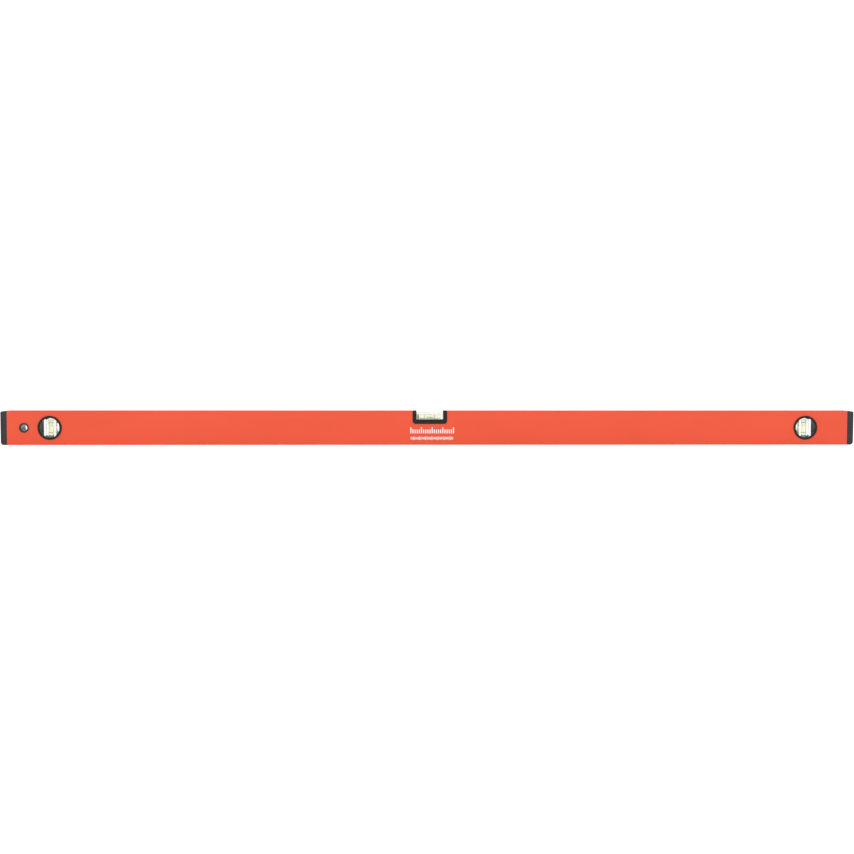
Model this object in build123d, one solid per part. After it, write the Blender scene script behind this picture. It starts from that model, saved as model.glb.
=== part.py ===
from build123d import *
import os

# A 1200 mm box-section spirit level. Sizes are in millimetres.
# X runs along the level, Y through its thickness with the front face at -Y, and Z up.
# The origin is the middle of the working edge, under the centre vial.

# ---- driving dimensions ----

# Aluminium box section
tube_length = 1182.0
tube_height = 48.0
tube_depth = 20.0
tube_wall = 1.4
tube_corner = 1.2
tube_inner_corner = 0.6

# End caps: a head that covers the tube's end and a hollow plug with crush ribs
cap_head = 9.0
cap_toe_radius = 4.2
cap_brow_drop = 1.2
cap_brow_radius = 1.5
cap_end_wall = 2.5
plug_length = 16.0
plug_wall = 1.6
plug_corner = 1.6
plug_inner_corner = 0.8
plug_side_gap = 0.5
rib_gap = 0.06
rib_width = 1.6
rib_count = 3

# Shared by the mouldings that clip into the tube's side walls
flange_proud = 0.9
flange_edge = 0.35
fit_gap = 0.1
block_gap = 0.05

# Hang hole, at the left end
hang_from_end = 23.8
hang_bore_radius = 4.7
hang_sleeve_wall = 1.45
hang_flange_lip = 0.55

# Plumb vials, one near each end
plumb_from_end = 59.5
plumb_window_radius = 13.8
plumb_sleeve_wall = 2.1
plumb_flange_lip = 0.8
plumb_lap = 1.5
plumb_block_width = 17.0
plumb_block_seat = 1.0
plumb_top_wall = 3.3
plumb_bubble_length = 9.0

# Centre vial, in a notch in the top edge
centre_flange_width = 48.3
centre_flange_depth = 18.5
centre_flange_corner = 4.2
centre_flange_overlap = 1.2
centre_arm = 5.4
centre_bar = 6.0
centre_window_corner = 1.0
centre_block_below_top = 2.5
centre_seat_depth = 1.4
centre_tongue_length = 2.0
centre_tongue_height = 5.8
centre_tongue_depth = 10.0
centre_side_gap = 0.15
centre_end_wall = 3.3
centre_bubble_length = 10.5
dowel_radius = 0.8
dowel_length = 2.5

# Every vial: a bored acrylic block, closed by a plug
block_recess = 1.6
block_chamfer = 0.3
vial_bore_radius = 3.6
vial_plug_length = 3.6
vial_plug_inset = 0.6
liquid_gap = 0.02
reading_line_spacing = 14.0
reading_line_width = 0.4
reading_line_thickness = 0.15
bubble_radius = 2.7
bubble_rise = 0.45
bubble_gap = 0.25
bubble_end_gap = 0.6

# ---- places worked out from them ----

half_length = tube_length / 2
half_depth = tube_depth / 2
mid_height = tube_height / 2
inner_depth = tube_depth - 2 * tube_wall
inner_height = tube_height - 2 * tube_wall
face_y = half_depth + flange_proud
block_half_depth = half_depth - block_recess

hang_x = -(half_length - hang_from_end)
plumb_x = half_length - plumb_from_end

hang_sleeve_radius = hang_bore_radius + hang_sleeve_wall
hang_hole_radius = hang_sleeve_radius + fit_gap
hang_flange_radius = hang_hole_radius + hang_flange_lip

plumb_sleeve_radius = plumb_window_radius + plumb_sleeve_wall
plumb_hole_radius = plumb_sleeve_radius + fit_gap
plumb_flange_radius = plumb_hole_radius + plumb_flange_lip
plumb_block_radius = plumb_window_radius + plumb_block_seat
plumb_pocket_radius = plumb_block_radius + block_gap

notch_width = centre_flange_width - 2 * centre_flange_overlap
notch_depth = centre_flange_depth - centre_flange_overlap
notch_corner = centre_flange_corner - centre_flange_overlap
centre_window_width = centre_flange_width - 2 * centre_arm
centre_window_depth = centre_flange_depth - centre_bar
centre_block_width = centre_window_width - 2 * centre_side_gap
centre_block_bottom = tube_height - centre_window_depth - centre_seat_depth
centre_block_top = tube_height - centre_block_below_top
centre_vial_z = (centre_block_bottom + centre_block_top) / 2

# Each vial's bore runs along its own axis, from the plug's inner end to the blind end.
centre_blind_end = centre_block_width / 2 - centre_end_wall
centre_plug_outer = -(centre_block_width / 2 - vial_plug_inset)
centre_plug_inner = -centre_blind_end
plumb_blind_end = plumb_block_radius - plumb_top_wall
plumb_plug_outer = -(plumb_block_radius - vial_plug_inset)
plumb_plug_inner = plumb_plug_outer + vial_plug_length

# Cutting tools run this far past the faces they cut, and faces this close are the same face.
OVERSHOOT = 1.0
TOUCHING = 1e-6


# ---- helpers ----

def along_y(outline, y_low, y_high):
    """An outline drawn in X and Z, carried from y_low to y_high."""
    return extrude(Plane.XZ.offset(-y_high) * outline, amount=y_high - y_low)


def along_x(outline, x_low, x_high):
    """An outline drawn in Y and Z, carried from x_low to x_high."""
    return extrude(Plane.YZ.offset(x_low) * outline, amount=x_high - x_low)


def disc_y(radius, y_low, y_high, x=0.0, z=0.0):
    """A round bar along Y."""
    return along_y(Pos(x, z) * Circle(radius), y_low, y_high)


def rod_x(radius, x_low, x_high):
    """A round bar on the X axis."""
    return along_x(Circle(radius), x_low, x_high)


def block_between(x, y, z):
    """A box given by its lowest and highest value on each axis."""
    size = [high - low for low, high in (x, y, z)]
    centre = [(low + high) / 2 for low, high in (x, y, z)]
    return Pos(*centre) * Box(*size)


# ---- box section and end caps ----

def notch_outline(width, depth, corner, above=0.0):
    """A rectangle that hangs from the top edge, with its two lower corners rounded."""
    outline = Pos(0, tube_height - (depth - above) / 2) * Rectangle(width, depth + above)
    return fillet(outline.vertices().group_by(Axis.Y)[0], corner)


def box_profile():
    """The extruded tube, with its side walls pierced for the vials and the hang hole."""
    outer = Pos(0, mid_height) * RectangleRounded(tube_depth, tube_height, tube_corner)
    inner = Pos(0, mid_height) * RectangleRounded(inner_depth, inner_height, tube_inner_corner)
    tube = along_x(outer - inner, -half_length, half_length)
    through = (-half_depth - OVERSHOOT, half_depth + OVERSHOOT)
    notch = notch_outline(notch_width, notch_depth, notch_corner, above=OVERSHOOT)
    tube -= along_y(notch, *through)
    for x in (-plumb_x, plumb_x):
        tube -= disc_y(plumb_hole_radius, *through, x, mid_height)
    return tube - disc_y(hang_hole_radius, *through, hang_x, mid_height)


def end_cap():
    """The right-hand cap with the tube's end face at x = 0 and the plug towards -X."""
    brow = tube_height - cap_brow_drop
    side = make_face(Polyline((0, 0), (cap_head, 0), (cap_head, brow), (0, tube_height), close=True))
    toe_corner = side.vertices().group_by(Axis.X)[-1].sort_by(Axis.Y)[0]
    side = fillet(toe_corner, cap_toe_radius)
    brow_corner = side.vertices().group_by(Axis.X)[-1].sort_by(Axis.Y)[-1]
    side = fillet(brow_corner, cap_brow_radius)
    head = along_y(side, -half_depth, half_depth)
    rims = [e for e in head.edges() if abs(abs(e.center().Y) - half_depth) < TOUCHING]
    head = fillet([e for e in rims if e.center().X > TOUCHING], tube_corner)

    plug_depth = inner_depth - 2 * plug_side_gap
    plug_height = inner_height - 2 * plug_side_gap
    shell = Pos(0, mid_height) * RectangleRounded(plug_depth, plug_height, plug_corner)
    plug = along_x(shell, -plug_length, 0)
    rib_reach_y = inner_depth / 2 - rib_gap
    rib_reach_z = inner_height / 2 - rib_gap
    rib_start = -plug_length + rib_width
    for i in range(rib_count):
        z = mid_height + (i - (rib_count - 1) / 2) * plug_height / rib_count
        span = (z - rib_width / 2, z + rib_width / 2)
        plug += block_between((rib_start, 0), (-rib_reach_y, rib_reach_y), span)
    span = (mid_height - rib_reach_z, mid_height + rib_reach_z)
    plug += block_between((rib_start, 0), (-rib_width / 2, rib_width / 2), span)
    hollow_size = (plug_depth - 2 * plug_wall, plug_height - 2 * plug_wall)
    hollow = Pos(0, mid_height) * RectangleRounded(*hollow_size, plug_inner_corner)
    return head + plug - along_x(hollow, -plug_length, cap_head - cap_end_wall)


# ---- hang hole ----

def hang_grommet_half():
    """The front half of the eyelet: a flange on the wall and a sleeve to mid-thickness."""
    flange = disc_y(hang_flange_radius, -face_y, -half_depth)
    rim = flange.edges().sort_by(Axis.Y)[0]
    flange = fillet(rim, flange_edge)
    sleeve = disc_y(hang_sleeve_radius, -half_depth, 0)
    bore = disc_y(hang_bore_radius, -face_y, 0)
    return Pos(hang_x, 0, mid_height) * (flange + sleeve - bore)


# ---- vials, each built on its own bore axis along X ----

def reading_line_places():
    """Where the two reading lines lie along the bore, from its middle."""
    return (-reading_line_spacing / 2, reading_line_spacing / 2)


def bored(block, mouth, blind_end):
    """A block with the vial's bore and a shallow groove for each reading line."""
    block -= rod_x(vial_bore_radius, mouth, blind_end)
    groove_radius = vial_bore_radius + reading_line_thickness + liquid_gap
    half_groove = reading_line_width / 2 + liquid_gap
    for x in reading_line_places():
        block -= rod_x(groove_radius, x - half_groove, x + half_groove)
    return block


def reading_lines():
    """The two black rings that the bubble is read against."""
    rings = []
    for x in reading_line_places():
        span = (x - reading_line_width / 2, x + reading_line_width / 2)
        outer = rod_x(vial_bore_radius + reading_line_thickness, *span)
        rings.append(outer - rod_x(vial_bore_radius, *span))
    return Compound(rings)


def capsule(radius, x_low, x_high):
    """A round bar along X with domed ends, tips at x_low and x_high."""
    body = rod_x(radius, x_low + radius, x_high - radius)
    return body + Pos(x_low + radius, 0, 0) * Sphere(radius) + Pos(x_high - radius, 0, 0) * Sphere(radius)


def vial_liquid(plug_inner, blind_end, rise):
    """The liquid, with a trough that the bubble runs in, open on the bubble's side."""
    liquid = rod_x(vial_bore_radius - liquid_gap, plug_inner + liquid_gap, blind_end - liquid_gap)
    channel_radius = bubble_radius + bubble_gap
    ends = (plug_inner + bubble_end_gap - bubble_gap, blind_end - bubble_end_gap + bubble_gap)
    channel = capsule(channel_radius, *ends)
    above_outline = Pos(0, vial_bore_radius) * Rectangle(2 * channel_radius, 2 * vial_bore_radius)
    above = along_x(above_outline, ends[0] + channel_radius, ends[1] - channel_radius)
    return liquid - Pos(0, 0, rise) * (channel + above)


def vial_plug(outer, inner):
    """The stopper that closes the bore."""
    return rod_x(vial_bore_radius - liquid_gap, outer, inner)


# ---- plumb vial and its round housing, centred on the origin ----

def plumb_block_outline(radius, width):
    """A disc with two flat sides."""
    return Circle(radius) & Rectangle(width, 2 * radius + OVERSHOOT)


def plumb_housing(front):
    """One half of the round housing. The front half's outer wall laps over the back half's."""
    flange = disc_y(plumb_flange_radius, -face_y, -half_depth)
    flange = fillet(flange.edges().sort_by(Axis.Y)[0], flange_edge)
    half = flange + disc_y(plumb_sleeve_radius, -half_depth, 0)
    if front:
        half += disc_y(plumb_sleeve_radius, 0, plumb_lap)
        half -= disc_y(plumb_pocket_radius + block_gap, 0, plumb_lap)
    else:
        half -= disc_y(plumb_sleeve_radius, -plumb_lap, 0) - disc_y(plumb_pocket_radius, -plumb_lap, 0)
    half -= disc_y(plumb_window_radius, -face_y, 0)
    pocket_width = plumb_block_width + 2 * block_gap
    pocket = along_y(plumb_block_outline(plumb_pocket_radius, pocket_width), -block_half_depth, 0)
    half -= pocket
    return half if front else mirror(half, Plane.XZ)


def plumb_block():
    """The clear acrylic disc with two flats. Its bore opens at the bottom."""
    outline = plumb_block_outline(plumb_block_radius, plumb_block_width)
    block = along_y(outline, -block_half_depth, block_half_depth)
    ends = block.faces().filter_by(Axis.Y)
    block = chamfer([e for face in ends for e in face.edges()], block_chamfer)
    upright = Rot(Y=90) * block
    return bored(upright, -plumb_block_radius - OVERSHOOT, plumb_blind_end)


def upright_at(part, x):
    """Turns a vial built along X so that its blind end is up, and puts it at x, mid-height."""
    return Pos(x, 0, mid_height) * Rot(Y=-90) * part


def plumb_nodes(side, x):
    """Every piece of one plumb vial."""
    top = plumb_blind_end - bubble_end_gap
    liquid = Rot(X=-90) * vial_liquid(plumb_plug_inner, plumb_blind_end, 0.0)
    return {
        f"plumb_{side}_housing_front": Pos(x, 0, mid_height) * plumb_housing(front=True),
        f"plumb_{side}_housing_back": Pos(x, 0, mid_height) * plumb_housing(front=False),
        f"plumb_{side}_vial_block": upright_at(plumb_block(), x),
        f"plumb_{side}_vial_plug": upright_at(vial_plug(plumb_plug_outer, plumb_plug_inner), x),
        f"plumb_{side}_vial_liquid": upright_at(liquid, x),
        f"plumb_{side}_reading_lines": upright_at(reading_lines(), x),
        f"plumb_{side}_bubble": upright_at(capsule(bubble_radius, top - plumb_bubble_length, top), x),
    }


# ---- centre vial and its U-shaped housing ----

def centre_dowels():
    """Where the dowels that line up the two housing halves stand, in X and Z."""
    arm_x = (centre_window_width / 2 + notch_width / 2) / 2
    arm_z = tube_height - centre_block_below_top - 2 * dowel_radius
    bar_z = (tube_height - notch_depth + centre_block_bottom) / 2
    return [(-arm_x, arm_z), (arm_x, arm_z), (0.0, bar_z)]


def centre_housing(front):
    """One half of the U-shaped housing. The front half has the dowels, the back half their sockets."""
    flange_outline = notch_outline(centre_flange_width, centre_flange_depth, centre_flange_corner)
    flange = along_y(flange_outline, -face_y, -half_depth)
    body_width = notch_width - 2 * fit_gap
    body_depth = notch_depth - fit_gap
    body = along_y(notch_outline(body_width, body_depth, notch_corner), -half_depth, 0)
    window = notch_outline(centre_window_width, centre_window_depth, centre_window_corner, OVERSHOOT)
    half = flange + body - along_y(window, -face_y, 0)
    face = half.faces().sort_by(Axis.Y)[0]
    half = fillet(face.edges(), flange_edge)

    floor = centre_block_bottom
    across = centre_window_width / 2
    half -= block_between((-across, across), (-block_half_depth, 0), (floor, tube_height))
    slot_reach = across + centre_tongue_length
    slot_depth = centre_tongue_depth / 2 + block_gap
    slot_top = floor + centre_tongue_height + block_gap
    half -= block_between((-slot_reach, slot_reach), (-slot_depth, 0), (floor, slot_top))
    for x, z in centre_dowels():
        if front:
            half += disc_y(dowel_radius, 0, dowel_length, x, z)
        else:
            half -= disc_y(dowel_radius + block_gap, -dowel_length - block_gap, 0, x, z)
    return half if front else mirror(half, Plane.XZ)


def centre_block():
    """The clear acrylic block, with a tongue on each end that the housing traps. Built on its bore axis."""
    low = centre_block_bottom - centre_vial_z
    high = centre_block_top - centre_vial_z
    across = centre_block_width / 2
    block = block_between((-across, across), (-block_half_depth, block_half_depth), (low, high))
    block = chamfer(block.edges(), block_chamfer)
    reach = across + centre_tongue_length
    tongue_y = centre_tongue_depth / 2
    tongues = block_between((-reach, reach), (-tongue_y, tongue_y), (low, low + centre_tongue_height))
    mouth = -reach - OVERSHOOT
    return bored(block + tongues, mouth, centre_blind_end)


def centre_nodes():
    """Every piece of the centre vial."""
    def at_vial(part):
        return Pos(0, 0, centre_vial_z) * part

    half_bubble = centre_bubble_length / 2
    bubble = Pos(0, 0, bubble_rise) * capsule(bubble_radius, -half_bubble, half_bubble)
    return {
        "centre_housing_front": centre_housing(front=True),
        "centre_housing_back": centre_housing(front=False),
        "centre_vial_block": at_vial(centre_block()),
        "centre_vial_plug": at_vial(vial_plug(centre_plug_outer, centre_plug_inner)),
        "centre_vial_liquid": at_vial(vial_liquid(centre_plug_inner, centre_blind_end, bubble_rise)),
        "centre_reading_lines": at_vial(reading_lines()),
        "centre_bubble": at_vial(bubble),
    }


# ---- the assembly ----

right_cap = Pos(half_length, 0, 0) * end_cap()
front_grommet = hang_grommet_half()
nodes = {
    "box_profile": box_profile(),
    "end_cap_right": right_cap,
    "end_cap_left": mirror(right_cap, Plane.YZ),
    "hang_grommet_front": front_grommet,
    "hang_grommet_back": mirror(front_grommet, Plane.XZ),
    **centre_nodes(),
    **plumb_nodes("left", -plumb_x),
    **plumb_nodes("right", plumb_x),
}

os.makedirs("parts", exist_ok=True)
for name, shape in nodes.items():
    export_step(shape, f"parts/{name}.step")
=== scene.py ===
"""The looks of a 1200 mm box-section spirit level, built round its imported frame.

Every length is in metres, in the frame's own axes: X along the level, Y through its thickness with the
front face at -Y, Z up from the working edge.
"""
import math

import bpy
import numpy as np
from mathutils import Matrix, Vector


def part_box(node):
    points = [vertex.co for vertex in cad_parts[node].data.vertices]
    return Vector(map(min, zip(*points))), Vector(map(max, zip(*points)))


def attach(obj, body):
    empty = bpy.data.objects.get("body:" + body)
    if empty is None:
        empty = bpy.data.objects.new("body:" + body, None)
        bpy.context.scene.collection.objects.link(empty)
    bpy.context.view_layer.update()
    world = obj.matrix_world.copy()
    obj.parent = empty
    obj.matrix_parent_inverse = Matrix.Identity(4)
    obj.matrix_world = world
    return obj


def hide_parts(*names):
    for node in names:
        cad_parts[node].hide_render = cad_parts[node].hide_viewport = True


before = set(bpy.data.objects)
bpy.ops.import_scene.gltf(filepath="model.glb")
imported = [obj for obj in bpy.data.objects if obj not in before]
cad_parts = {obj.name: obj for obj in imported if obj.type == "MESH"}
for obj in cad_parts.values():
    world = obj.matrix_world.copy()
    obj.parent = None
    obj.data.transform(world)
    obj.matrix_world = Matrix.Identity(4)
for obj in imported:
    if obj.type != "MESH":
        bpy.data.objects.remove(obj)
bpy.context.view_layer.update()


# ---- sizes, worked out from the frame ----

def extent(node):
    """The lowest and highest corner of a CAD node, as arrays."""
    low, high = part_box(node)
    return np.array(low), np.array(high)


def middle(node):
    """The middle of a CAD node's box."""
    low, high = extent(node)
    return (low + high) / 2


tube_low, tube_high = extent("box_profile")
half_length = tube_high[0]
half_depth = tube_high[1]
tube_height = tube_high[2]
mid_height = tube_height / 2
tube_wall = 0.0014
tube_corner = 0.0012

ends = ("left", "right")
cap_low, cap_high = extent("end_cap_right")
cap_head = cap_high[0] - half_length
plug_length = half_length - cap_low[0]
cap_toe_radius = 0.0042
cap_brow_drop = 0.0012
cap_brow_radius = 0.0015
cap_rim_radius = 0.0006
plug_gap = 0.0005
plug_wall = 0.0016
plug_floor = 0.0055
rib_count = 3
rib_width = 0.0016
rib_rise = 0.00044
rib_lead = 0.0012

face_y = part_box("hang_grommet_front")[0][1]
front_y = -half_depth
rim_round = 0.00035
hair_round = 0.00006

hang_centre = middle("hang_grommet_front")
hang_flange_radius = (extent("hang_grommet_front")[1] - extent("hang_grommet_front")[0])[0] / 2
hang_lip = 0.0021
hang_sleeve_lip = 0.00065

plumb_low, plumb_high = extent("plumb_right_housing_front")
plumb_flange_radius = (plumb_high - plumb_low)[0] / 2
plumb_lip = 0.0030
plumb_flange_overhang = 0.0009
plumb_window_radius = plumb_flange_radius - plumb_lip
plumb_sleeve_radius = plumb_flange_radius - plumb_flange_overhang
plumb_lap = plumb_high[1]
plumb_block_low, plumb_block_high = extent("plumb_right_vial_block")
plumb_block_half_width = (plumb_block_high - plumb_block_low)[0] / 2
plumb_block_radius = (plumb_block_high - plumb_block_low)[2] / 2
block_half_depth = plumb_block_high[1]
block_gap = 0.00005
block_chamfer = 0.0003

centre_low, centre_high = extent("centre_housing_front")
centre_width = (centre_high - centre_low)[0]
centre_depth = (centre_high - centre_low)[2]
centre_corner = 0.0042
centre_arm = 0.0054
centre_bar = 0.0060
centre_body_step = 0.0013
centre_window_corner = 0.0010
centre_block_low, centre_block_high = extent("centre_vial_block")
centre_block_side_gap = 0.00015

# The vials' insides. Shares are of the radius they belong to.
bore_radius = 0.0036
bar_end_round = 0.08
axis_hole = 0.02
wetting = 0.00002
stopper_edge = 0.0003
stopper_dish = 0.0004
stopper_dish_radius = bore_radius * 0.7
line_thickness = 0.00015
line_width = 0.0004
bubble_dome = 1.15
bubble_waist = 0.03
bubble_flattening = 0.93

# The print: an upper scale of bold bars, and a finer one under it.
print_thickness = 0.00004
scale_middle_x = 0.0033
scale_pitch = 0.0030
scale_foot = 0.0160
scale_bar_width = 0.0014
scale_long_bar = 0.0088
scale_short_bar = 0.0058
fine_middle = (0.0028, 0.0093)
fine_pitch = 0.00172
fine_bar_width = 0.0009
fine_long_bar = 0.0054
fine_short_bar = 0.0036
long_bar_every = 5


# ---- surfaces: grids of points worked out as whole arrays ----

def quads(rows, columns, closed_rows, closed_columns):
    """The faces between neighbours on a grid. Closing joins the last line of points to the first."""
    row = np.arange(rows if closed_rows else rows - 1)
    column = np.arange(columns if closed_columns else columns - 1)
    r, c = (a.ravel() for a in np.meshgrid(row, column, indexing="ij"))
    r_next = (r + 1) % rows
    c_next = (c + 1) % columns
    corners = (r * columns + c, r * columns + c_next, r_next * columns + c_next, r_next * columns + c)
    return np.stack(corners, -1).tolist()


def signed_volume(points, faces):
    """The volume inside closed faces, as the sum of the pyramids from the first point to each face."""
    total = 0.0
    shifted = points - points[0]
    by_size = {}
    for face in faces:
        by_size.setdefault(len(face), []).append(face)
    for group in by_size.values():
        corners = shifted[np.array(group)]
        fans = np.cross(corners[:, 1:-1], corners[:, 2:])
        total += np.einsum("fc,fkc->", corners[:, 0], fans)
    return total / 6


def shell(grid, closed_rows=False, closed_columns=True, cavity=False):
    """A closed shell from a grid of points [rows, columns, 3]. Where the rows are open, a flat face closes
    the first and the last one; where the columns are open, a flat face closes each side of the grid.
    Faces point out of a solid, and into a cavity."""
    rows, columns = grid.shape[:2]
    points = grid.reshape(-1, 3)
    faces = quads(rows, columns, closed_rows, closed_columns)
    index = np.arange(rows * columns).reshape(rows, columns)
    if not closed_rows:
        faces += [index[0, ::-1].tolist(), index[-1].tolist()]
    if not closed_columns:
        faces += [index[:, 0].tolist(), index[::-1, -1].tolist()]
    if (signed_volume(points, faces) < 0) != cavity:
        faces = [face[::-1] for face in faces]
    return points, faces


def piece(name, shells, material, body, replaces=(), sharp=40.0):
    """Joins shells into one object that rides on a body. Edges sharper than the angle stay crisp."""
    points, faces, first = [], [], 0
    for shell_points, shell_faces in shells:
        points.append(shell_points)
        faces += [[first + i for i in face] for face in shell_faces]
        first += len(shell_points)
    mesh = bpy.data.meshes.new(name)
    mesh.from_pydata(np.concatenate(points).tolist(), [], faces)
    mesh.shade_smooth()
    mesh.set_sharp_from_angle(angle=math.radians(sharp))
    mesh.materials.append(material)
    made = bpy.data.objects.new(name, mesh)
    bpy.context.scene.collection.objects.link(made)
    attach(made, body)
    if replaces:
        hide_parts(*replaces)
    return made


def rounded_loop(corners, radii, steps=6):
    """A flat closed outline through the corners [n, 2], each turned by an arc of its own radius. The arc is
    the blend of its first and last spoke by sines, which keeps both the spoke's length and an even pace."""
    corners = np.array(corners, float)
    radii = np.array(radii, float)[:, None]
    back = np.roll(corners, 1, axis=0) - corners
    ahead = np.roll(corners, -1, axis=0) - corners
    back /= np.linalg.norm(back, axis=1, keepdims=True)
    ahead /= np.linalg.norm(ahead, axis=1, keepdims=True)
    half_angle = np.arccos(np.clip((back * ahead).sum(1, keepdims=True), -1, 1)) / 2
    inward = (back + ahead) / np.linalg.norm(back + ahead, axis=1, keepdims=True)
    centre = corners + inward * radii / np.sin(half_angle)
    first = corners + back * radii / np.tan(half_angle) - centre
    last = corners + ahead * radii / np.tan(half_angle) - centre
    turn = math.pi - 2 * half_angle
    share = np.linspace(0, 1, steps + 1)[None, :, None]
    turn = turn[:, None, :]
    arc = (np.sin((1 - share) * turn) * first[:, None] + np.sin(share * turn) * last[:, None]) / np.sin(turn)
    return (centre[:, None] + arc).reshape(-1, 2)


def box_sections(x, half_y, low_z, high_z, corner, steps=5):
    """Rounded rectangles that stand across X, one for each x: four quarter arcs joined by straight sides,
    with their own half width in Y, lowest and highest Z and corner radius."""
    angle = np.linspace(0, math.pi / 2, steps + 1)
    angle = (angle[None, :] + np.arange(4)[:, None] * math.pi / 2).ravel()
    side_y = np.repeat([1, -1, -1, 1], steps + 1)
    side_z = np.repeat([1, 1, -1, -1], steps + 1)
    x, half_y, low_z, high_z, corner = (np.asarray(a, float)[:, None] for a in
                                        np.broadcast_arrays(x, half_y, low_z, high_z, corner))
    half_z = (high_z - low_z) / 2
    y = side_y * (half_y - corner) + corner * np.cos(angle)
    z = (low_z + high_z) / 2 + side_z * (half_z - corner) + corner * np.sin(angle)
    return np.stack([x + 0 * y, y, z], -1)


def turned(profile, axis, centre, segments=96):
    """A profile of (radius, place along the axis) points carried once round an axis through the centre."""
    angle = np.arange(segments) * 2 * math.pi / segments
    radius, along = np.array(profile, float).T[:, :, None]
    across = [radius * np.cos(angle), radius * np.sin(angle)]
    grid = [None, None, None]
    grid[axis] = along + 0 * across[0]
    grid[(axis + 1) % 3] = across[0]
    grid[(axis + 2) % 3] = across[1]
    return np.stack(grid, -1) + np.array(centre)


def slab(outline, y_low, y_high, chamfer):
    """An upright plate: the outline for a given inset, in X and Z, carried through the thickness, with both
    rims cut back by the chamfer."""
    insets = np.array([chamfer, 0.0, 0.0, chamfer])
    y = np.array([y_low, y_low + chamfer, y_high - chamfer, y_high])
    loops = np.stack([outline(inset) for inset in insets])
    return np.stack([loops[..., 0], y[:, None] + 0 * loops[..., 0], loops[..., 1]], -1)


# ---- materials ----

def metal_or_plastic(name, colour, roughness, **sockets):
    """A new material with its shader set to one colour and roughness; other sockets go by their names."""
    material = bpy.data.materials.new(name)
    material.use_nodes = True
    shader = material.node_tree.nodes["Principled BSDF"]
    shader.inputs["Base Color"].default_value = (*colour, 1.0)
    shader.inputs["Roughness"].default_value = roughness
    for socket, value in sockets.items():
        shader.inputs[socket.replace("_", " ")].default_value = value
    return material, material.node_tree, shader


def place_on_object(tree):
    """The point on the piece, in metres in the level's own frame."""
    return tree.nodes.new("ShaderNodeTexCoord").outputs["Object"]


def grain(tree, size, detail=2.0, stretch=(1.0, 1.0, 1.0)):
    """Soft random grain whose features are about the size given, stretched along each axis."""
    mapping = tree.nodes.new("ShaderNodeMapping")
    mapping.inputs["Scale"].default_value = [1 / (size * s) for s in stretch]
    noise = tree.nodes.new("ShaderNodeTexNoise")
    noise.inputs["Scale"].default_value = 1.0
    noise.inputs["Detail"].default_value = detail
    tree.links.new(place_on_object(tree), mapping.inputs["Vector"])
    tree.links.new(mapping.outputs["Vector"], noise.inputs["Vector"])
    return noise.outputs["Fac"]


def between(tree, value, low, high, start=0.3, stop=0.7):
    """Maps a value that runs from start to stop onto low to high."""
    node = tree.nodes.new("ShaderNodeMapRange")
    node.inputs["From Min"].default_value = start
    node.inputs["From Max"].default_value = stop
    node.inputs["To Min"].default_value = low
    node.inputs["To Max"].default_value = high
    tree.links.new(value, node.inputs["Value"])
    return node.outputs["Result"]


def blend_colours(tree, share, first, second):
    """A colour between two by a share. Each of the two is a colour or another node's output."""
    node = tree.nodes.new("ShaderNodeMix")
    node.data_type = "RGBA"
    tree.links.new(share, node.inputs["Factor"])
    for socket, colour in (("A", first), ("B", second)):
        target = [s for s in node.inputs if s.name == socket and s.type == "RGBA"][0]
        if isinstance(colour, bpy.types.NodeSocket):
            tree.links.new(colour, target)
        else:
            target.default_value = (*colour, 1.0)
    return [s for s in node.outputs if s.type == "RGBA"][0]


def blend_values(tree, share, first, second):
    """A number between two by a share."""
    node = tree.nodes.new("ShaderNodeMix")
    tree.links.new(share, node.inputs["Factor"])
    tree.links.new(first, node.inputs["A"])
    tree.links.new(second, node.inputs["B"])
    return node.outputs["Result"]


def raise_grain(tree, shader, height, distance):
    """Bump from a height between 0 and 1, distance metres tall."""
    bump = tree.nodes.new("ShaderNodeBump")
    bump.inputs["Strength"].default_value = 1.0
    bump.inputs["Distance"].default_value = distance
    tree.links.new(height, bump.inputs["Height"])
    tree.links.new(bump.outputs["Normal"], shader.inputs["Normal"])


def math_node(tree, operation, *values):
    """One step of arithmetic on numbers or other nodes' outputs."""
    node = tree.nodes.new("ShaderNodeMath")
    node.operation = operation
    for socket, value in zip(node.inputs, values):
        if isinstance(value, bpy.types.NodeSocket):
            tree.links.new(value, socket)
        else:
            socket.default_value = value
    return node.outputs[0]


ORANGE = (0.73, 0.068, 0.019)
ORANGE_DEEP = (0.70, 0.064, 0.017)
ALUMINIUM = (0.58, 0.58, 0.60)
CAP_CHARCOAL = (0.020, 0.0195, 0.023)
HOUSING_BLACK = (0.008, 0.007, 0.007)
# Lighter than the housings' black: painted sheen for their inner walls, in place of the reflection they
# catch.
HOUSING_CORE_PAINTED_SHEEN = (0.032, 0.032, 0.037)
EYELET_BLACK = (0.010, 0.011, 0.014)
ACRYLIC = (0.95, 0.955, 0.945)
VIAL_YELLOW_GREEN = (0.99, 1.0, 0.72)
GAS = (1.0, 1.0, 0.98)
STOPPER_GREEN = (0.36, 0.48, 0.25)
STOPPER_PALE = (0.72, 0.78, 0.60)
LINE_BLACK = (0.09, 0.10, 0.09)
PRINT_WHITE = (0.90, 0.89, 0.87)
FLOOR_WHITE = (0.95, 0.95, 0.95)
FLOOR_GLOW = 0.28


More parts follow.
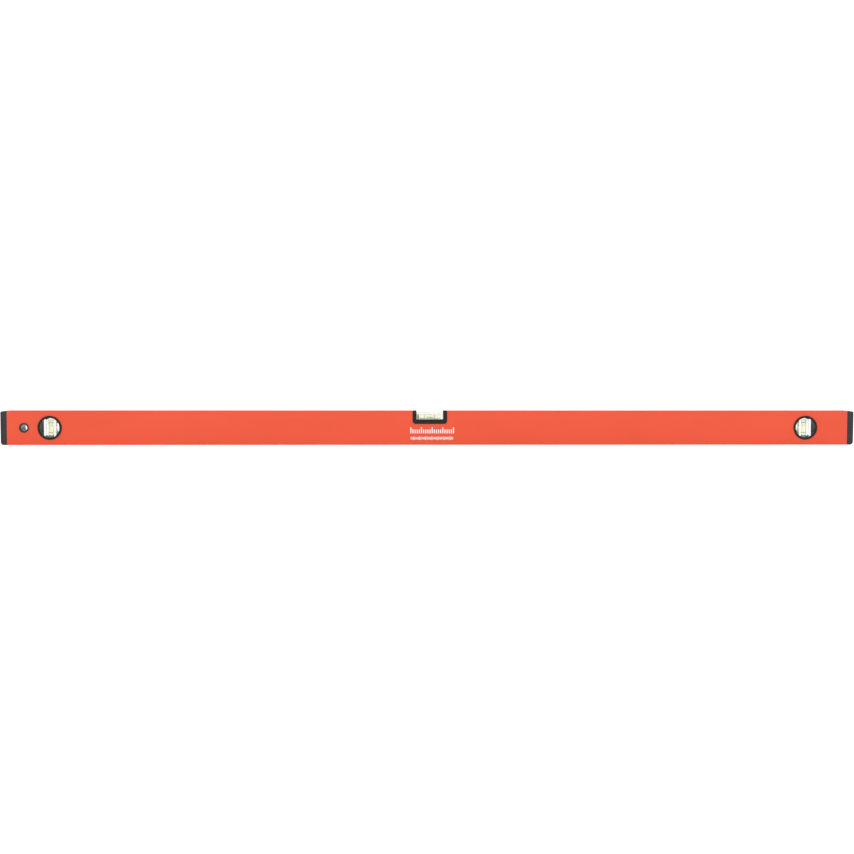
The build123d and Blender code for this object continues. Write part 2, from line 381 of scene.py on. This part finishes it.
def powder_coated_profile():
    """Orange powder coat with its fine orange-peel skin outside; bare drawn aluminium on the cut ends and
    inside the tube, where the coating doesn't reach."""
    material, tree, shader = metal_or_plastic("powder_coated_profile", ORANGE, 0.42)
    drift = between(tree, grain(tree, size=0.03, detail=3.0, stretch=(3.0, 1.0, 1.0)), 0.0, 1.0)
    coat = blend_colours(tree, drift, ORANGE, ORANGE_DEEP)
    split = tree.nodes.new("ShaderNodeSeparateXYZ")
    tree.links.new(place_on_object(tree), split.inputs["Vector"])
    skin = tube_wall * 0.5
    off_x = math_node(tree, "ABSOLUTE", split.outputs["X"])
    off_y = math_node(tree, "ABSOLUTE", split.outputs["Y"])
    off_z = math_node(tree, "ABSOLUTE", math_node(tree, "SUBTRACT", split.outputs["Z"], mid_height))
    cut_end = math_node(tree, "GREATER_THAN", off_x, half_length - hair_round / 10)
    within_y = math_node(tree, "LESS_THAN", off_y, half_depth - skin)
    within_z = math_node(tree, "LESS_THAN", off_z, mid_height - skin)
    inside = math_node(tree, "MULTIPLY", within_y, within_z)
    bare = math_node(tree, "MAXIMUM", cut_end, inside)
    tree.links.new(blend_colours(tree, bare, coat, ALUMINIUM), shader.inputs["Base Color"])
    tree.links.new(bare, shader.inputs["Metallic"])
    peel = grain(tree, size=0.0011, detail=1.5)
    draw_lines = grain(tree, size=0.0003, stretch=(60.0, 1.0, 1.0))
    height = blend_values(tree, bare, peel, draw_lines)
    raise_grain(tree, shader, height, distance=0.000012)
    tree.links.new(between(tree, peel, 0.38, 0.50), shader.inputs["Roughness"])
    return material


def moulded_plastic(name, colour, roughness, grain_size, grain_height, specular):
    """Moulded plastic: a fine even texture from its tool, with slight drift in colour and gloss."""
    material, tree, shader = metal_or_plastic(name, colour, roughness, Specular_IOR_Level=specular)
    drift = between(tree, grain(tree, size=0.006), 0.0, 1.0)
    worn = tuple(c * 1.35 for c in colour)
    tree.links.new(blend_colours(tree, drift, colour, worn), shader.inputs["Base Color"])
    fine = grain(tree, grain_size)
    tree.links.new(between(tree, fine, roughness - 0.05, roughness + 0.06), shader.inputs["Roughness"])
    raise_grain(tree, shader, fine, grain_height)
    return material


def core_side(material, rougher, painted_sheen):
    """Gives what lies between a moulding's two outer faces the finish left by its core pins, rougher by a
    factor, and a lighter base colour that is painted sheen, standing in for the glossy reflection on those
    inner walls."""
    tree = material.node_tree
    shader = tree.nodes["Principled BSDF"]
    face_roughness = shader.inputs["Roughness"].links[0].from_socket
    face_colour = shader.inputs["Base Color"].links[0].from_socket
    split = tree.nodes.new("ShaderNodeSeparateXYZ")
    tree.links.new(place_on_object(tree), split.inputs["Vector"])
    inner = math_node(tree, "LESS_THAN", math_node(tree, "ABSOLUTE", split.outputs["Y"]), half_depth)
    core_roughness = math_node(tree, "MULTIPLY", face_roughness, rougher)
    tree.links.new(blend_values(tree, inner, face_roughness, core_roughness), shader.inputs["Roughness"])
    # Painted sheen: the inner walls get a lighter base colour in place of the glossy reflection they catch.
    tree.links.new(blend_colours(tree, inner, face_colour, painted_sheen), shader.inputs["Base Color"])


def clear_material(name, colour, ior, ripple=0.0):
    """A clear body: light passes through it, bent by its index, with faint ripples left in its surface."""
    material, tree, shader = metal_or_plastic(name, colour, 0.0, IOR=ior, Transmission_Weight=1.0)
    waves = grain(tree, size=0.004, detail=1.0)
    raise_grain(tree, shader, waves, ripple)
    tint = between(tree, grain(tree, size=0.008, detail=1.0), 0.0, 1.0)
    lighter = tuple(min(1.0, c * 1.01) for c in colour)
    tree.links.new(blend_colours(tree, tint, colour, lighter), shader.inputs["Base Color"])
    return material


def matte_print(name, colour, roughness):
    """A printed or dyed surface: matte, a little uneven in cover."""
    material, tree, shader = metal_or_plastic(name, colour, roughness, Specular_IOR_Level=0.3)
    cover = between(tree, grain(tree, size=0.0006, detail=3.0), 0.0, 1.0)
    thin = tuple(c * 0.93 for c in colour)
    tree.links.new(blend_colours(tree, cover, thin, colour), shader.inputs["Base Color"])
    raise_grain(tree, shader, grain(tree, size=0.0004), distance=0.000004)
    return material


coat = powder_coated_profile()
cap_plastic = moulded_plastic("cap_plastic", CAP_CHARCOAL, roughness=0.55, grain_size=0.0005,
                              grain_height=0.00002, specular=0.34)
housing_plastic = moulded_plastic("housing_plastic", HOUSING_BLACK, roughness=0.36, grain_size=0.0004,
                                  grain_height=0.000006, specular=0.24)
# The inner walls' lighter colour is painted sheen.
core_side(housing_plastic, rougher=1.4, painted_sheen=HOUSING_CORE_PAINTED_SHEEN)
eyelet_plastic = moulded_plastic("eyelet_plastic", EYELET_BLACK, roughness=0.16, grain_size=0.0004,
                                 grain_height=0.000003, specular=0.45)
acrylic = clear_material("acrylic", ACRYLIC, ior=1.49, ripple=0.000002)
liquid = clear_material("vial_liquid", VIAL_YELLOW_GREEN, ior=1.40)
bubble_gas = clear_material("bubble_gas", GAS, ior=0.92)
plug_green = matte_print("plug_green", STOPPER_GREEN, roughness=0.55)
plug_pale = matte_print("plug_pale", STOPPER_PALE, roughness=0.55)
line_ink = matte_print("line_ink", LINE_BLACK, roughness=0.6)
white_ink = matte_print("white_ink", PRINT_WHITE, roughness=0.6)


# ---- end caps ----

def end_cap(side):
    """One surface for a whole cap: rounded rectangles across the level's length that start at the end face,
    swell over the rounded toe and brow, run back to the tube, step down onto the plug, turn round its rim
    and go up its hollow to the floor. Crush ribs stand on the plug as low rounded bars."""
    sweep = np.linspace(math.pi / 2, 0, 25)
    toe_x = cap_head - cap_toe_radius + cap_toe_radius * np.sin(sweep)
    seam_x = np.array([cap_head * 0.25, 3 * hair_round, hair_round])
    x = np.concatenate([toe_x, seam_x])

    def cut_back(radius):
        """How far a rounding of this radius at the end face draws the surface in at each x."""
        reach = np.clip(x - (cap_head - radius), 0, radius)
        return radius - np.sqrt(radius ** 2 - reach ** 2)

    half_y = half_depth - cut_back(cap_rim_radius)
    low_z = cut_back(cap_toe_radius)
    high_z = tube_height - cap_brow_drop * x / cap_head - cut_back(cap_brow_radius)
    corner = tube_corner - cut_back(cap_rim_radius)
    head = (x, half_y, low_z, high_z, corner)

    bevel = hair_round * 2
    plug_y = half_depth - tube_wall - plug_gap
    plug_low = tube_wall + plug_gap
    seam = (0.0, half_depth - bevel, bevel, tube_height - bevel, tube_corner)
    rim_angle = np.linspace(0, math.pi, 9)
    rim_inset = plug_wall / 2 * (1 - np.cos(rim_angle))
    rim_x = -plug_length + plug_wall / 2 * (1 - np.sin(rim_angle))
    neck_x = np.array([0.0, -plug_length / 2])
    plug_x = np.concatenate([neck_x, rim_x, [0.0, plug_floor]])
    inset = np.concatenate([[0.0, 0.0], rim_inset, [plug_wall, plug_wall]])
    plug = (plug_x, plug_y - inset, plug_low + inset, tube_height - plug_low - inset,
            np.maximum(plug_wall - inset * 0.5, hair_round))
    stations = [np.concatenate([np.atleast_1d(h), np.atleast_1d(s), np.atleast_1d(p)])
                for h, s, p in zip(head, seam, plug)]
    grids = [box_sections(*stations)]

    rib_run = plug_length - rib_width - hair_round
    rib_x = -plug_length + rib_width + np.array([0.0, rib_lead / 3, rib_lead, rib_run])
    swell = np.array([0.3, 0.8, 1.0, 1.0])
    plug_height = tube_height - 2 * plug_low
    for k in range(rib_count):
        z = mid_height + (k - (rib_count - 1) / 2) * plug_height / rib_count
        half = rib_width / 2 * swell
        reach = plug_y + rib_rise * swell
        for hand in (-1, 1):
            rib = box_sections(rib_x, (reach - plug_y + plug_wall / 2) / 2, z - half, z + half, rib_rise / 2)
            rib[..., 1] += hand * ((reach + plug_y - plug_wall / 2) / 2)[:, None]
            grids.append(rib)
    for hand in (-1, 1):
        edge = mid_height + hand * plug_height / 2
        low = np.minimum(edge - hand * plug_wall / 2, edge + hand * rib_rise * swell)
        high = np.maximum(edge - hand * plug_wall / 2, edge + hand * rib_rise * swell)
        grids.append(box_sections(rib_x, rib_width / 2 * swell, low, high, rib_rise / 2))

    hand = 1 if side == "right" else -1
    placed = [(grid + [half_length, 0, 0]) * [hand, 1, 1] for grid in grids]
    piece(f"cap_{side}", [shell(grid) for grid in placed], cap_plastic, f"end_cap_{side}_body",
          replaces=[f"end_cap_{side}"])


for cap_side in ends:
    end_cap(cap_side)


# ---- hang hole ----

def hang_eyelet(hand, name):
    """Half of the eyelet, hand -1 in front and 1 behind: a ring profile with a soft lip, turned round Y."""
    bore = hang_flange_radius - hang_lip
    sleeve = bore + hang_lip - hang_sleeve_lip
    corners = [(hang_flange_radius, half_depth), (hang_flange_radius, -face_y), (bore, -face_y), (bore, 0),
               (sleeve, 0), (sleeve, half_depth)]
    radii = [hair_round, rim_round, rim_round, hair_round, hair_round, hair_round]
    profile = rounded_loop(corners, radii)
    profile[:, 1] *= hand
    centre = (hang_centre[0], 0, mid_height)
    ring = turned(profile, 1, centre)
    piece(f"hang_eyelet_{name}", [shell(ring, closed_rows=True)], eyelet_plastic, "level_body",
          replaces=[f"hang_grommet_{name}"])


for eyelet_hand, eyelet_name in ((-1, "front"), (1, "back")):
    hang_eyelet(eyelet_hand, eyelet_name)


# ---- plumb vials and their round housings ----

def flat_sided_angles(radii, half_width, segments=144):
    """Angles round a circle, with extra ones where a flat at the half width meets circles of these radii."""
    even = np.arange(segments) * 2 * math.pi / segments
    breaks = [math.acos(half_width / radius) for radius in radii if radius > half_width]
    extra = [turn + sign * b for b in breaks for turn in (0, math.pi) for sign in (-1, 1)]
    return np.unique(np.round(np.mod(np.concatenate([even, extra]), 2 * math.pi), 9))


def flat_sided_radius(angle, radius, half_width):
    """The radius at each angle of a circle with two upright flats."""
    return np.minimum(radius, half_width / np.maximum(np.abs(np.cos(angle)), 1e-9))


def plumb_housing(side, hand, name):
    """Half of a round housing: a ring profile carried round Y. Behind the window's lip the profile's inner
    edge follows the block's outline, so the block's two flats leave a wall beside each see-through gap."""
    pocket_radius = plumb_block_radius + block_gap
    pocket_half_width = plumb_block_half_width + block_gap
    angle = flat_sided_angles((plumb_window_radius, pocket_radius), pocket_half_width)
    pocket = np.maximum(flat_sided_radius(angle, pocket_radius, pocket_half_width), plumb_window_radius)
    end_y = hand * -plumb_lap
    corners = [(plumb_flange_radius, half_depth), (plumb_flange_radius, -face_y),
               (plumb_window_radius, -face_y), (plumb_window_radius, block_half_depth),
               (plumb_window_radius + hair_round, block_half_depth + hair_round / 2),
               (plumb_window_radius + hair_round, end_y), (plumb_sleeve_radius, end_y),
               (plumb_sleeve_radius, half_depth)]
    radii = [hair_round, rim_round, rim_round, hair_round / 4, hair_round / 4, hair_round / 2, hair_round,
             hair_round]
    steps = 6
    profile = rounded_loop(corners, radii, steps)
    in_pocket = np.repeat([0, 0, 0, 0, 1, 1, 0, 0], steps + 1).astype(bool)
    radius = profile[:, :1] + np.where(in_pocket[:, None], pocket - plumb_window_radius, 0.0)
    y = hand * profile[:, 1:]
    centre = middle(f"plumb_{side}_housing_front")
    x = centre[0] + radius * np.cos(angle)
    z = mid_height + radius * np.sin(angle)
    ring = np.stack([x, y + 0 * x, z], -1)
    piece(f"plumb_{side}_ring_{name}", [shell(ring, closed_rows=True)], housing_plastic, "level_body",
          replaces=[f"plumb_{side}_housing_{name}"])


def plumb_block(side):
    """The clear disc with two flats and a bore up its middle: the outline carried through the thickness with
    chamfered rims, and the bore as a cavity inside it."""
    centre = middle(f"plumb_{side}_vial_block")

    def outline(inset):
        radius = plumb_block_radius - inset
        half_width = plumb_block_half_width - inset
        angle = flat_sided_angles((plumb_block_radius,), plumb_block_half_width, 96)
        reach = flat_sided_radius(angle, radius, half_width)
        return np.stack([centre[0] + reach * np.cos(angle), centre[2] + reach * np.sin(angle)], -1)

    plug_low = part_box(f"plumb_{side}_vial_plug")[0][2]
    blind_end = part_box(f"plumb_{side}_vial_liquid")[1][2] + wetting
    body = shell(slab(outline, -block_half_depth, block_half_depth, block_chamfer))
    bore = bore_cavity(2, centre, plug_low, blind_end)
    piece(f"plumb_{side}_block", [body, bore], acrylic, "level_body",
          replaces=[f"plumb_{side}_vial_block"], sharp=25.0)


def bar_profile(radius, low, high, rounding, steps=5):
    """Half the outline of a round bar: out along one end, round its edge, along the side and back in."""
    sweep = np.linspace(0, math.pi / 2, steps + 1)
    out = radius - rounding + rounding * np.sin(sweep)
    start = low + rounding - rounding * np.cos(sweep)
    stop = high - rounding + rounding * np.cos(sweep)
    pole = radius * axis_hole
    return np.array([(pole, low), *zip(out, start), *zip(out[::-1], stop[::-1]), (pole, high)])


def bore_cavity(axis, centre, low, high):
    """The bore's wall, from the plug's outer end to the blind end, facing its own middle."""
    middle_line = np.array(centre, float)
    middle_line[axis] = 0
    profile = bar_profile(bore_radius, low, high, bore_radius * bar_end_round)
    return shell(turned(profile, axis, middle_line, 64), cavity=True)


def vial_liquid(name, axis, low, high, centre):
    """The tinted liquid: a round bar that wets the bore's wall all round and has softly rounded ends."""
    middle_line = np.array(centre, float)
    middle_line[axis] = 0
    radius = bore_radius + wetting
    profile = bar_profile(radius, low - wetting, high + 2 * wetting, radius * bar_end_round)
    piece(f"{name}_liquid", [shell(turned(profile, axis, middle_line, 64))], liquid, "level_body",
          replaces=[f"{name}_vial_liquid"])


def vial_plug(name, axis, material):
    """The stopper: a round bar with a soft edge and a shallow dish in its outer end."""
    low, high = extent(f"{name}_vial_plug")
    middle_line = (low + high) / 2
    middle_line[axis] = 0
    start, stop = low[axis], high[axis] - wetting
    profile = bar_profile(bore_radius + 2 * wetting, start, stop, stopper_edge)
    dish = stopper_dish * np.clip(1 - profile[:, 0] / stopper_dish_radius, 0, 1)
    profile[:, 1] += np.where(profile[:, 1] < (start + stop) / 2, dish, 0)
    piece(f"{name}_plug", [shell(turned(profile, axis, middle_line, 64))], material, "level_body",
          replaces=[f"{name}_vial_plug"])


def reading_lines(name, axis):
    """Two thin inked rings round the vial, at its reading lines: a rounded strip turned round the bore."""
    low, high = extent(f"{name}_reading_lines")
    middle_line = (low + high) / 2
    middle_line[axis] = 0
    inner = bore_radius + 2 * wetting
    outer = inner + line_thickness
    rings = []
    for start in (low[axis], high[axis] - line_width):
        stop = start + line_width
        corners = [(inner, start), (outer, start), (outer, stop), (inner, stop)]
        strip = rounded_loop(corners, [line_thickness / 3] * 4, 3)
        rings.append(shell(turned(strip, axis, middle_line, 64), closed_rows=True))
    piece(f"{name}_lines", rings, line_ink, "level_body",
          replaces=[f"{name}_reading_lines"])


def bubble(name, axis, rise):
    """The air bubble: a long drop whose ends are elliptic domes and whose side is drawn in a little at the
    middle, by a power of a sine. One that lies along the bore is pressed flatter at its top."""
    low, high = extent(f"{name}_bubble")
    middle_line = (low + high) / 2
    start, stop = low[axis], high[axis]
    radius = (high - low)[(axis + 1) % 3] / 2
    half = (stop - start) / 2
    sweep = np.linspace(0.02, math.pi - 0.02, 49)
    along = (start + stop) / 2 - half * np.cos(sweep)
    dome = radius * bubble_dome
    from_end = np.clip(np.minimum(along - start, stop - along), 0, dome)
    swell = np.sqrt(np.clip(1 - (1 - from_end / dome) ** 2, 0, 1))
    waist = 1 - bubble_waist * np.sin(sweep) ** 8
    profile = np.stack([radius * swell * waist, along], -1)
    middle_line[axis] = 0
    grid = turned(profile, axis, middle_line, 64)
    if rise:
        height = grid[..., 2] - middle_line[2]
        grid[..., 2] = middle_line[2] + np.where(height > 0, height * bubble_flattening, height)
    piece(f"{name}_air", [shell(grid)], bubble_gas, f"{name}_bubble_body",
          replaces=[f"{name}_bubble"], sharp=60.0)


def vial_inside(name, axis, plug_material, rise):
    """The liquid, plug, reading lines and bubble of one vial."""
    centre = middle(f"{name}_vial_plug")
    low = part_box(f"{name}_vial_liquid")[0][axis]
    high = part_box(f"{name}_vial_liquid")[1][axis]
    vial_liquid(name, axis, low, high, centre)
    vial_plug(name, axis, plug_material)
    reading_lines(name, axis)
    bubble(name, axis, rise)


for plumb_side in ends:
    plumb_housing(plumb_side, -1, "front")
    plumb_housing(plumb_side, 1, "back")
    plumb_block(plumb_side)
    vial_inside(f"plumb_{plumb_side}", 2, plug_green, rise=False)


# ---- centre vial and its U-shaped housing ----

def u_outline(half_width, depth, corner, steps=10):
    """A U hung from the top edge: down the left side, round a corner, along the bottom, round the other
    corner and up the right side. Points [n, 2] in X and Z."""
    sweep = np.linspace(0, math.pi / 2, steps + 1)
    bottom = tube_height - depth
    left_x = -half_width + corner - corner * np.cos(sweep)
    corner_z = bottom + corner - corner * np.sin(sweep)
    x = np.concatenate([[-half_width], left_x, -left_x[::-1], [half_width]])
    z = np.concatenate([[tube_height], corner_z, corner_z[::-1], [tube_height]])
    return np.stack([x, z], -1)


def centre_housing(hand, name):
    """Half of the U-shaped housing: a cross-section carried along the U. Each of its corners has an outline
    of its own, so the flange, the body that fills the notch and the block's seat each keep their corner."""
    half_width = centre_width / 2
    window_half_width = half_width - centre_arm
    window_depth = centre_depth - centre_bar
    seat_depth = tube_height - centre_block_low[2] + block_gap
    outer = u_outline(half_width, centre_depth, centre_corner)
    window = u_outline(window_half_width, window_depth, centre_window_corner)
    seat = u_outline(window_half_width, seat_depth, hair_round)
    body = u_outline(half_width - centre_body_step, centre_depth - centre_body_step,
                     centre_corner - centre_body_step)
    across = window - outer
    across /= np.linalg.norm(across, axis=1, keepdims=True)
    sweep = np.linspace(0, math.pi / 2, 7)
    rim_in = rim_round * (1 - np.cos(sweep))
    rim_back = rim_round * (1 - np.sin(sweep))
    face = -face_y

    rows = [(outer, half_depth)]
    rows += [(outer + across * inset, face - back) for inset, back in zip(rim_in, rim_back)]
    rows += [(window - across * inset, face - back) for inset, back in zip(rim_in[::-1], rim_back[::-1])]
    rows += [(window, block_half_depth), (seat, block_half_depth), (seat, 0.0), (body, 0.0),
             (body, half_depth)]
    grid = np.stack([np.stack([line[:, 0], np.full(len(line), hand * y), line[:, 1]], -1)
                     for line, y in rows])
    piece(f"centre_frame_{name}", [shell(grid, closed_rows=True, closed_columns=False)], housing_plastic,
          "level_body", replaces=[f"centre_housing_{name}"])


def centre_block():
    """The clear block: a rounded rectangle carried through the thickness with chamfered rims, and the bore
    as a cavity inside it."""
    half_width = centre_width / 2 - centre_arm - centre_block_side_gap
    low_z, high_z = centre_block_low[2], centre_block_high[2]

    def outline(inset):
        corners = [(-half_width + inset, low_z + inset), (half_width - inset, low_z + inset),
                   (half_width - inset, high_z - inset), (-half_width + inset, high_z - inset)]
        return rounded_loop(corners, [block_chamfer] * 4, 4)

    centre = middle("centre_vial_plug")
    plug_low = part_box("centre_vial_plug")[0][0]
    blind_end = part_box("centre_vial_liquid")[1][0] + wetting
    body = shell(slab(outline, -block_half_depth, block_half_depth, block_chamfer))
    bore = bore_cavity(0, centre, plug_low, blind_end)
    piece("centre_block", [body, bore], acrylic, "level_body",
          replaces=["centre_vial_block"], sharp=25.0)


for frame_hand, frame_name in ((-1, "front"), (1, "back")):
    centre_housing(frame_hand, frame_name)
centre_block()
vial_inside("centre", 0, plug_pale, rise=True)


# ---- printed marks: a generic centre scale, with no lettering ----

def printed_bars(x, z, width, height):
    """Bars of ink on the front face: a unit rounded rectangle, moved to each x and z and stretched to each
    width and height, all as one array."""
    corners = rounded_loop([(-1, -1), (1, -1), (1, 1), (-1, 1)], [0.35] * 4, 2)
    x, z, width, height = np.broadcast_arrays(x, z, width, height)
    bar_x = x[:, None] + corners[:, 0] * width[:, None] / 2
    bar_z = z[:, None] + corners[:, 1] * height[:, None] / 2
    levels = np.array([front_y + print_thickness, front_y - print_thickness])
    bar_x, bar_z = (np.stack([a, a], 1) for a in (bar_x, bar_z))
    grids = np.stack([bar_x, levels[:, None] + 0 * bar_x, bar_z], -1)
    return [shell(grid) for grid in grids]


def centre_scale():
    """An upper row of bold bars that stand on one line, taller at every fifth, and a finer row under it."""
    step = np.arange(-10, 11)
    height = np.where(step % long_bar_every == 0, scale_long_bar, scale_short_bar)
    x = scale_middle_x + step * scale_pitch
    upper = printed_bars(x, scale_foot + height / 2, scale_bar_width, height)
    step = np.arange(-17, 18)
    height = np.where(step % long_bar_every == 0, fine_long_bar, fine_short_bar)
    x = fine_middle[0] + step * fine_pitch
    lower = printed_bars(x, fine_middle[1], fine_bar_width, height)
    piece("centre_scale_print", upper + lower, white_ink, "level_body")


centre_scale()


# ---- carried-over CAD node ----

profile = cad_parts["box_profile"]
profile.data.materials.clear()
profile.data.materials.append(coat)


# ---- studio ----

def pale_floor():
    """A wide plain floor under the working edge: a flat disc of rings about the level's middle. Its faint
    glow keeps it white out to the horizon, and is left out of what clear pieces let through."""
    inner, outer, rings, spokes = 0.05, 14.0, 12, 48
    radius = np.linspace(inner, outer, rings)
    angle = np.arange(spokes) * 2 * math.pi / spokes
    x = radius[:, None] * np.cos(angle)
    y = radius[:, None] * np.sin(angle)
    grid = np.stack([x, y, np.full(x.shape, tube_low[2])], -1)
    mesh = bpy.data.meshes.new("floor")
    index = np.arange(len(angle))
    faces = [index.tolist()] + [face[::-1] for face in quads(len(radius), len(angle), False, True)]
    mesh.from_pydata(grid.reshape(-1, 3).tolist(), [], faces)
    material, tree, shader = metal_or_plastic("floor_paint", FLOOR_WHITE, 0.9, Specular_IOR_Level=0.1)
    drift = between(tree, grain(tree, size=0.2), 0.0, 1.0)
    darker, lighter = (tuple(c + change for c in FLOOR_WHITE) for change in (-0.01, 0.01))
    tree.links.new(blend_colours(tree, drift, darker, lighter), shader.inputs["Base Color"])
    path = tree.nodes.new("ShaderNodeLightPath")
    shader.inputs["Emission Color"].default_value = (1, 1, 1, 1)
    glow = math_node(tree, "MULTIPLY_ADD", path.outputs["Is Transmission Ray"], -FLOOR_GLOW, FLOOR_GLOW)
    tree.links.new(glow, shader.inputs["Emission Strength"])
    mesh.materials.append(material)
    floor = bpy.data.objects.new("floor", mesh)
    bpy.context.scene.collection.objects.link(floor)


def aim(thing, target):
    """Turns a lamp or camera to look at a point."""
    direction = np.array(target, float) - np.array(thing.location, float)
    bearing = math.atan2(direction[0], direction[1])
    slope = math.atan2(direction[2], math.hypot(direction[0], direction[1]))
    thing.rotation_euler = (math.pi / 2 + slope, 0.0, -bearing)


def softbox(name, place, size, watts):
    """A wide rectangular lamp that faces the level's middle."""
    lamp = bpy.data.lights.new(name, "AREA")
    lamp.shape = "RECTANGLE"
    lamp.size, lamp.size_y = size
    lamp.energy = watts
    holder = bpy.data.objects.new(name, lamp)
    bpy.context.scene.collection.objects.link(holder)
    holder.location = place
    aim(holder, (0.0, 0.0, mid_height))


def white_surround(lighting, seen, seen_through):
    """An even white room. It is a little brighter where it is seen straight or through clear pieces than as
    a light, so the backdrop stays a clean white."""
    world = bpy.data.worlds.new("white_room")
    world.use_nodes = True
    tree = world.node_tree
    background = tree.nodes["Background"]
    background.inputs["Color"].default_value = (1, 1, 1, 1)
    path = tree.nodes.new("ShaderNodeLightPath")
    straight = math_node(tree, "MULTIPLY_ADD", path.outputs["Is Camera Ray"], seen - lighting, lighting)
    strength = math_node(tree, "MULTIPLY_ADD", path.outputs["Is Transmission Ray"],
                         seen_through - lighting, straight)
    tree.links.new(strength, background.inputs["Strength"])
    bpy.context.scene.world = world


def studio_camera():
    """A moderate lens, a metre and a half in front, a little left of square and just above the level."""
    camera_data = bpy.data.cameras.new("camera")
    camera_data.sensor_width = 36.0
    camera_data.lens = 46.4
    camera = bpy.data.objects.new("camera", camera_data)
    bpy.context.scene.collection.objects.link(camera)
    distance = 1.548
    bearing = math.radians(-1.04)
    height = math.radians(2.8)
    roll = math.radians(0.036)
    target = np.array([-0.0040, front_y, 0.0251])
    away = np.array([math.sin(bearing) * math.cos(height), -math.cos(bearing) * math.cos(height),
                     math.sin(height)])
    camera.location = target + away * distance
    aim(camera, target)
    camera.rotation_euler.rotate_axis("Z", roll)
    bpy.context.scene.camera = camera


pale_floor()
softbox("key_softbox", place=(-1.1, -1.9, 1.7), size=(1.6, 1.0), watts=16.0)
softbox("fill_softbox", place=(1.6, -1.2, 1.2), size=(1.2, 1.2), watts=6.0)
softbox("back_softbox", place=(0.5, 1.6, 1.6), size=(2.0, 0.6), watts=10.0)
white_surround(lighting=0.80, seen=1.08, seen_through=1.04)
studio_camera()
bpy.context.scene.view_settings.view_transform = "Standard"
